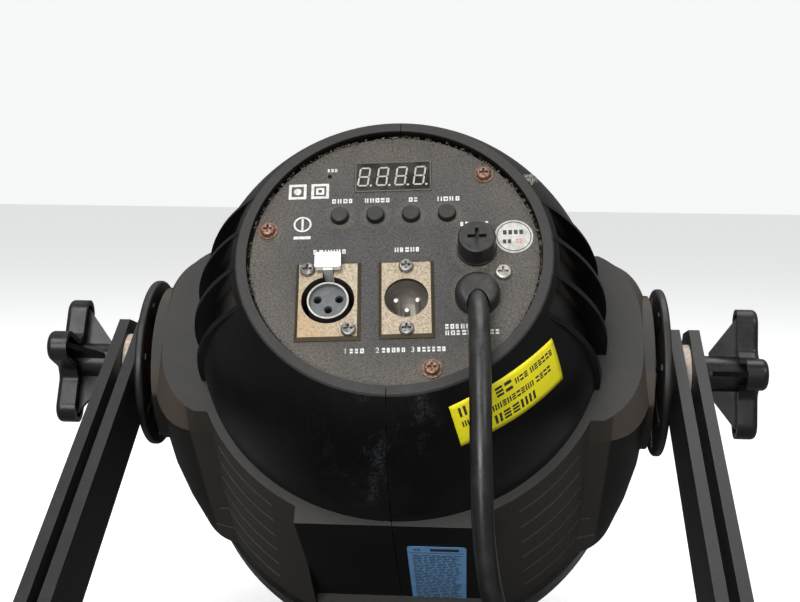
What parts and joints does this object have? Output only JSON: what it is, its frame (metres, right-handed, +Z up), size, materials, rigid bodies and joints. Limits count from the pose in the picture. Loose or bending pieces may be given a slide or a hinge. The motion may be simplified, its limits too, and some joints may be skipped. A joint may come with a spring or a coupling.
{
  "type": "par can light",
  "caption": "LED par can stage light with a domed two-shell head, dusty rear control panel, data sockets, mains cord, and double tilting bracket with clamp knobs.",
  "frame": {"origin": "centre of the bottom of the light's bounding box, cord left out, on the floor that the front ring's edge and the outer bracket's crossbar stand on", "axes": "+Z up; X along the tilt axis, +X to the right seen from the rear panel; the rear panel looks up and towards -Y, the lens down and towards +Y"},
  "size_m": [0.309, 0.3228, 0.2382],
  "materials": {
    "black_plastic": "satin moulded, dusty",
    "textured_panel": "fine textured paint, dusty",
    "rusty_steel": "rusted",
    "zinc_steel": "zinc plated",
    "display_window": "dark window with pale segments",
    "black_trim": "satin",
    "circuit_board": "solder mask",
    "champagne_plate": "satin, dusty",
    "nickel": "bright nickel",
    "grey_insulator": "satin",
    "brass": "machined",
    "cord_rubber": "scuffed rubber",
    "black_gloss": "gloss",
    "clear_lens": "clear",
    "white_board": "white",
    "bare_aluminium": "extruded",
    "led_lens": "clear optic",
    "red_fibre": "vulcanised fibre",
    "tan_fibre": "vulcanised fibre",
    "painted_steel": "satin black powder coat",
    "fuse_glass": "clear",
    "bright_tab": "bright"
  },
  "bodies": {
    "head": {"housing_left": "black_plastic", "housing_right": "black_plastic", "rear_panel": "textured_panel", "panel_screws": "rusty_steel", "panel_washers": "rusty_steel", "earth_screw": "zinc_steel", "display_module": "display_window", "button_switches": "black_trim", "control_board": "circuit_board", "microphone": "zinc_steel", "fuse_holder": "black_trim", "output_plate": "champagne_plate", "input_plate": "champagne_plate", "output_body": "black_trim", "output_shell": "nickel", "output_insert": "grey_insulator", "output_contacts": "brass", "input_cup": "nickel", "input_pins": "nickel", "output_screws": "zinc_steel", "input_screws": "zinc_steel", "cable_gland": "cord_rubber", "gland_nut": "black_trim", "front_ring": "black_gloss", "front_lens": "clear_lens", "lens_gasket": "cord_rubber", "led_board": "white_board", "heat_sink": "bare_aluminium", "led_emitters": "led_lens", "led_optics": "led_lens", "supply_board": "circuit_board", "supply_transformer": "black_trim", "supply_capacitors": "black_trim", "board_posts": "brass", "friction_disc_right": "black_plastic", "friction_disc_left": "black_plastic", "pivot_bolt_right": "zinc_steel", "pivot_bolt_left": "zinc_steel", "boss_washers": "red_fibre", "power_cord": "cord_rubber", "cord_tail": "cord_rubber", "cord_coil": "cord_rubber", "plug_relief": "cord_rubber", "plug_body": "cord_rubber", "plug_blades": "nickel"},
    "outer_bracket": {"outer_yoke": "painted_steel", "outer_washers": "tan_fibre"},
    "inner_bracket": {"inner_yoke": "painted_steel", "inner_washers": "tan_fibre"},
    "right_knob": {"clamp_knob_right": "black_gloss", "knob_insert_right": "brass"},
    "left_knob": {"clamp_knob_left": "black_gloss", "knob_insert_left": "brass"},
    "mode_button": {"button_mode": "black_trim"},
    "setup_button": {"button_setup": "black_trim"},
    "up_button": {"button_up": "black_trim"},
    "down_button": {"button_down": "black_trim"},
    "fuse_carrier": {"fuse_cap": "black_trim", "fuse": "fuse_glass"},
    "latch": {"output_latch": "bright_tab"}
  },
  "joints": [
    {"name": "outer_bracket_swing", "type": "hinge", "parent": "head", "child": "outer_bracket", "pos_m": [0, 0.03489, 0.13203], "axis": [1, 0, 0], "range_deg": [-170, 65]},
    {"name": "inner_bracket_swing", "type": "hinge", "parent": "head", "child": "inner_bracket", "pos_m": [0, 0.03489, 0.13203], "axis": [1, 0, 0], "range_deg": [-170, 65]},
    {"name": "right_knob_turn", "type": "hinge", "parent": "head", "child": "right_knob", "pos_m": [0, 0.03489, 0.13203], "axis": [1, 0, 0], "continuous": true},
    {"name": "left_knob_turn", "type": "hinge", "parent": "head", "child": "left_knob", "pos_m": [0, 0.03489, 0.13203], "axis": [1, 0, 0], "continuous": true},
    {"name": "mode_button_press", "type": "slide", "parent": "head", "child": "mode_button", "axis": [0, 0.8251, -0.565], "range_m": [0, 0.0005], "stiffness_N_per_m": 800, "springref_m": -0.0006},
    {"name": "setup_button_press", "type": "slide", "parent": "head", "child": "setup_button", "axis": [0, 0.8251, -0.565], "range_m": [0, 0.0005], "stiffness_N_per_m": 800, "springref_m": -0.0006},
    {"name": "up_button_press", "type": "slide", "parent": "head", "child": "up_button", "axis": [0, 0.8251, -0.565], "range_m": [0, 0.0005], "stiffness_N_per_m": 800, "springref_m": -0.0006},
    {"name": "down_button_press", "type": "slide", "parent": "head", "child": "down_button", "axis": [0, 0.8251, -0.565], "range_m": [0, 0.0005], "stiffness_N_per_m": 800, "springref_m": -0.0006},
    {"name": "fuse_cap_twist", "type": "hinge", "parent": "head", "child": "fuse_carrier", "pos_m": [0.03136, -0.04502, 0.19092], "axis": [0, -0.8251, 0.565], "range_deg": [0, 90]},
    {"name": "output_latch_press", "type": "slide", "parent": "head", "child": "latch", "axis": [0, 0.8251, -0.565], "range_m": [0, 0.001], "stiffness_N_per_m": 1500, "springref_m": -0.001}
  ]
}
